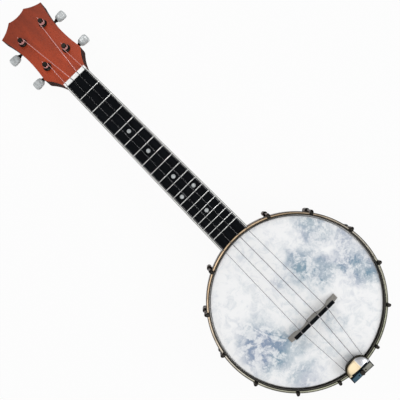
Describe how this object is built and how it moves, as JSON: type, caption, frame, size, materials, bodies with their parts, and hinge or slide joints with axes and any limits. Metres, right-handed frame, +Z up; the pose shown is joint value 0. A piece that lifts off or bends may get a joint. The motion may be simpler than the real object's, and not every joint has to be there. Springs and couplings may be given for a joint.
{
  "type": "banjo ukulele",
  "caption": "Open-back banjo ukulele with a drum-headed pot, fretted neck, tilted scalloped head, geared tuners, floating bridge and hinged tailpiece cover.",
  "frame": {"origin": "centre of the bounding box on the ground plane, which is the back edge of the rim that the instrument lies on", "axes": "+X along the neck from the head of the neck to the tail, +Y across the strings towards the first string, +Z up from the open back to the drum head"},
  "size_m": [0.5979, 0.2202, 0.0808],
  "materials": {
    "rim_wood": "satin lacquered laminated maple",
    "tone_brass": "plain",
    "drumhead": "mottled translucent film",
    "hoop_alloy": "plain",
    "black_nickel": "polished black-nickel plating",
    "neck_wood": "satin lacquered mahogany",
    "board_wood": "oiled, ebonised",
    "binding": "satin",
    "fret_wire": "polished nickel silver",
    "pearl_dot": "pearl",
    "bone": "satin",
    "rod_steel": "satin nickel",
    "bridge_maple": "bare maple",
    "ebony": "polished",
    "string_nylon": "clear nylon",
    "gear_brass": "cut teeth",
    "pearl_button": "pearloid"
  },
  "bodies": {
    "instrument": {"rim": "rim_wood", "tone_ring": "tone_brass", "head_skin": "drumhead", "flesh_hoop": "hoop_alloy", "tension_hoop": "black_nickel", "bracket_hooks": "black_nickel", "bracket_shoes": "black_nickel", "shoe_bolts": "black_nickel", "hook_nuts": "black_nickel", "neck": "neck_wood", "fretboard": "board_wood", "fretboard_binding": "binding", "frets": "fret_wire", "position_dots": "pearl_dot", "nut": "bone", "coordinator_rod": "rod_steel", "hanger_bolts": "rod_steel", "hanger_nut": "rod_steel", "rod_washers": "rod_steel", "tail_bracket": "black_nickel", "tail_bolt": "black_nickel", "tailpiece_base": "black_nickel", "tailpiece_pin": "black_nickel", "tailpiece_bolt": "black_nickel", "tailpiece_nut": "black_nickel", "string_1": "string_nylon", "tuner_plate_1": "black_nickel", "string_2": "string_nylon", "tuner_plate_2": "black_nickel", "string_3": "string_nylon", "tuner_plate_3": "black_nickel", "string_4": "string_nylon", "tuner_plate_4": "black_nickel", "tuner_bushings": "black_nickel", "tuner_screws": "black_nickel"},
    "bridge": {"bridge_base": "bridge_maple", "bridge_cap": "ebony"},
    "tailpiece_lid": {"tailpiece_cover": "black_nickel"},
    "string_post_body_1": {"string_post_1": "black_nickel", "worm_wheel_1": "gear_brass", "string_end_1": "string_nylon"},
    "tuner_knob_1": {"tuner_worm_1": "black_nickel", "tuner_button_1": "pearl_button"},
    "string_post_body_2": {"string_post_2": "black_nickel", "worm_wheel_2": "gear_brass", "string_end_2": "string_nylon"},
    "tuner_knob_2": {"tuner_worm_2": "black_nickel", "tuner_button_2": "pearl_button"},
    "string_post_body_3": {"string_post_3": "black_nickel", "worm_wheel_3": "gear_brass", "string_end_3": "string_nylon"},
    "tuner_knob_3": {"tuner_worm_3": "black_nickel", "tuner_button_3": "pearl_button"},
    "string_post_body_4": {"string_post_4": "black_nickel", "worm_wheel_4": "gear_brass", "string_end_4": "string_nylon"},
    "tuner_knob_4": {"tuner_worm_4": "black_nickel", "tuner_button_4": "pearl_button"}
  },
  "joints": [
    {"name": "tailpiece_cover_hinge", "type": "hinge", "parent": "instrument", "child": "tailpiece_lid", "pos_m": [0.28842, -0.00269, 0.076], "axis": [0.0262, 0.9997, 0], "range_deg": [0, 95]},
    {"name": "bridge_shift", "type": "slide", "parent": "instrument", "child": "bridge", "axis": [1, 0, 0], "range_m": [-0.002, 0.002]},
    {"name": "string_post_turn_1", "type": "hinge", "parent": "instrument", "child": "string_post_body_1", "pos_m": [-0.21964, 0.0157, 0.05611], "axis": [-0.225, 0, 0.9744], "continuous": true},
    {"name": "tuner_knob_turn_1", "type": "hinge", "parent": "instrument", "child": "tuner_knob_1", "pos_m": [-0.22005, 0.0157, 0.0357], "axis": [0, 1, 0], "continuous": true},
    {"name": "string_post_turn_2", "type": "hinge", "parent": "instrument", "child": "string_post_body_2", "pos_m": [-0.26504, 0.0169, 0.04563], "axis": [-0.225, 0, 0.9744], "continuous": true},
    {"name": "tuner_knob_turn_2", "type": "hinge", "parent": "instrument", "child": "tuner_knob_2", "pos_m": [-0.26546, 0.0169, 0.02521], "axis": [0, 1, 0], "continuous": true},
    {"name": "string_post_turn_3", "type": "hinge", "parent": "instrument", "child": "string_post_body_3", "pos_m": [-0.26504, -0.0169, 0.04563], "axis": [-0.225, 0, 0.9744], "continuous": true},
    {"name": "tuner_knob_turn_3", "type": "hinge", "parent": "instrument", "child": "tuner_knob_3", "pos_m": [-0.26546, -0.0169, 0.02521], "axis": [0, -1, 0], "continuous": true},
    {"name": "string_post_turn_4", "type": "hinge", "parent": "instrument", "child": "string_post_body_4", "pos_m": [-0.21964, -0.0157, 0.05611], "axis": [-0.225, 0, 0.9744], "continuous": true},
    {"name": "tuner_knob_turn_4", "type": "hinge", "parent": "instrument", "child": "tuner_knob_4", "pos_m": [-0.22005, -0.0157, 0.0357], "axis": [0, -1, 0], "continuous": true}
  ],
  "couplings": [
    {"joint": "tuner_knob_turn_1", "follows": "string_post_turn_1", "ratio": 14},
    {"joint": "tuner_knob_turn_2", "follows": "string_post_turn_2", "ratio": 14},
    {"joint": "tuner_knob_turn_3", "follows": "string_post_turn_3", "ratio": 14},
    {"joint": "tuner_knob_turn_4", "follows": "string_post_turn_4", "ratio": 14}
  ]
}
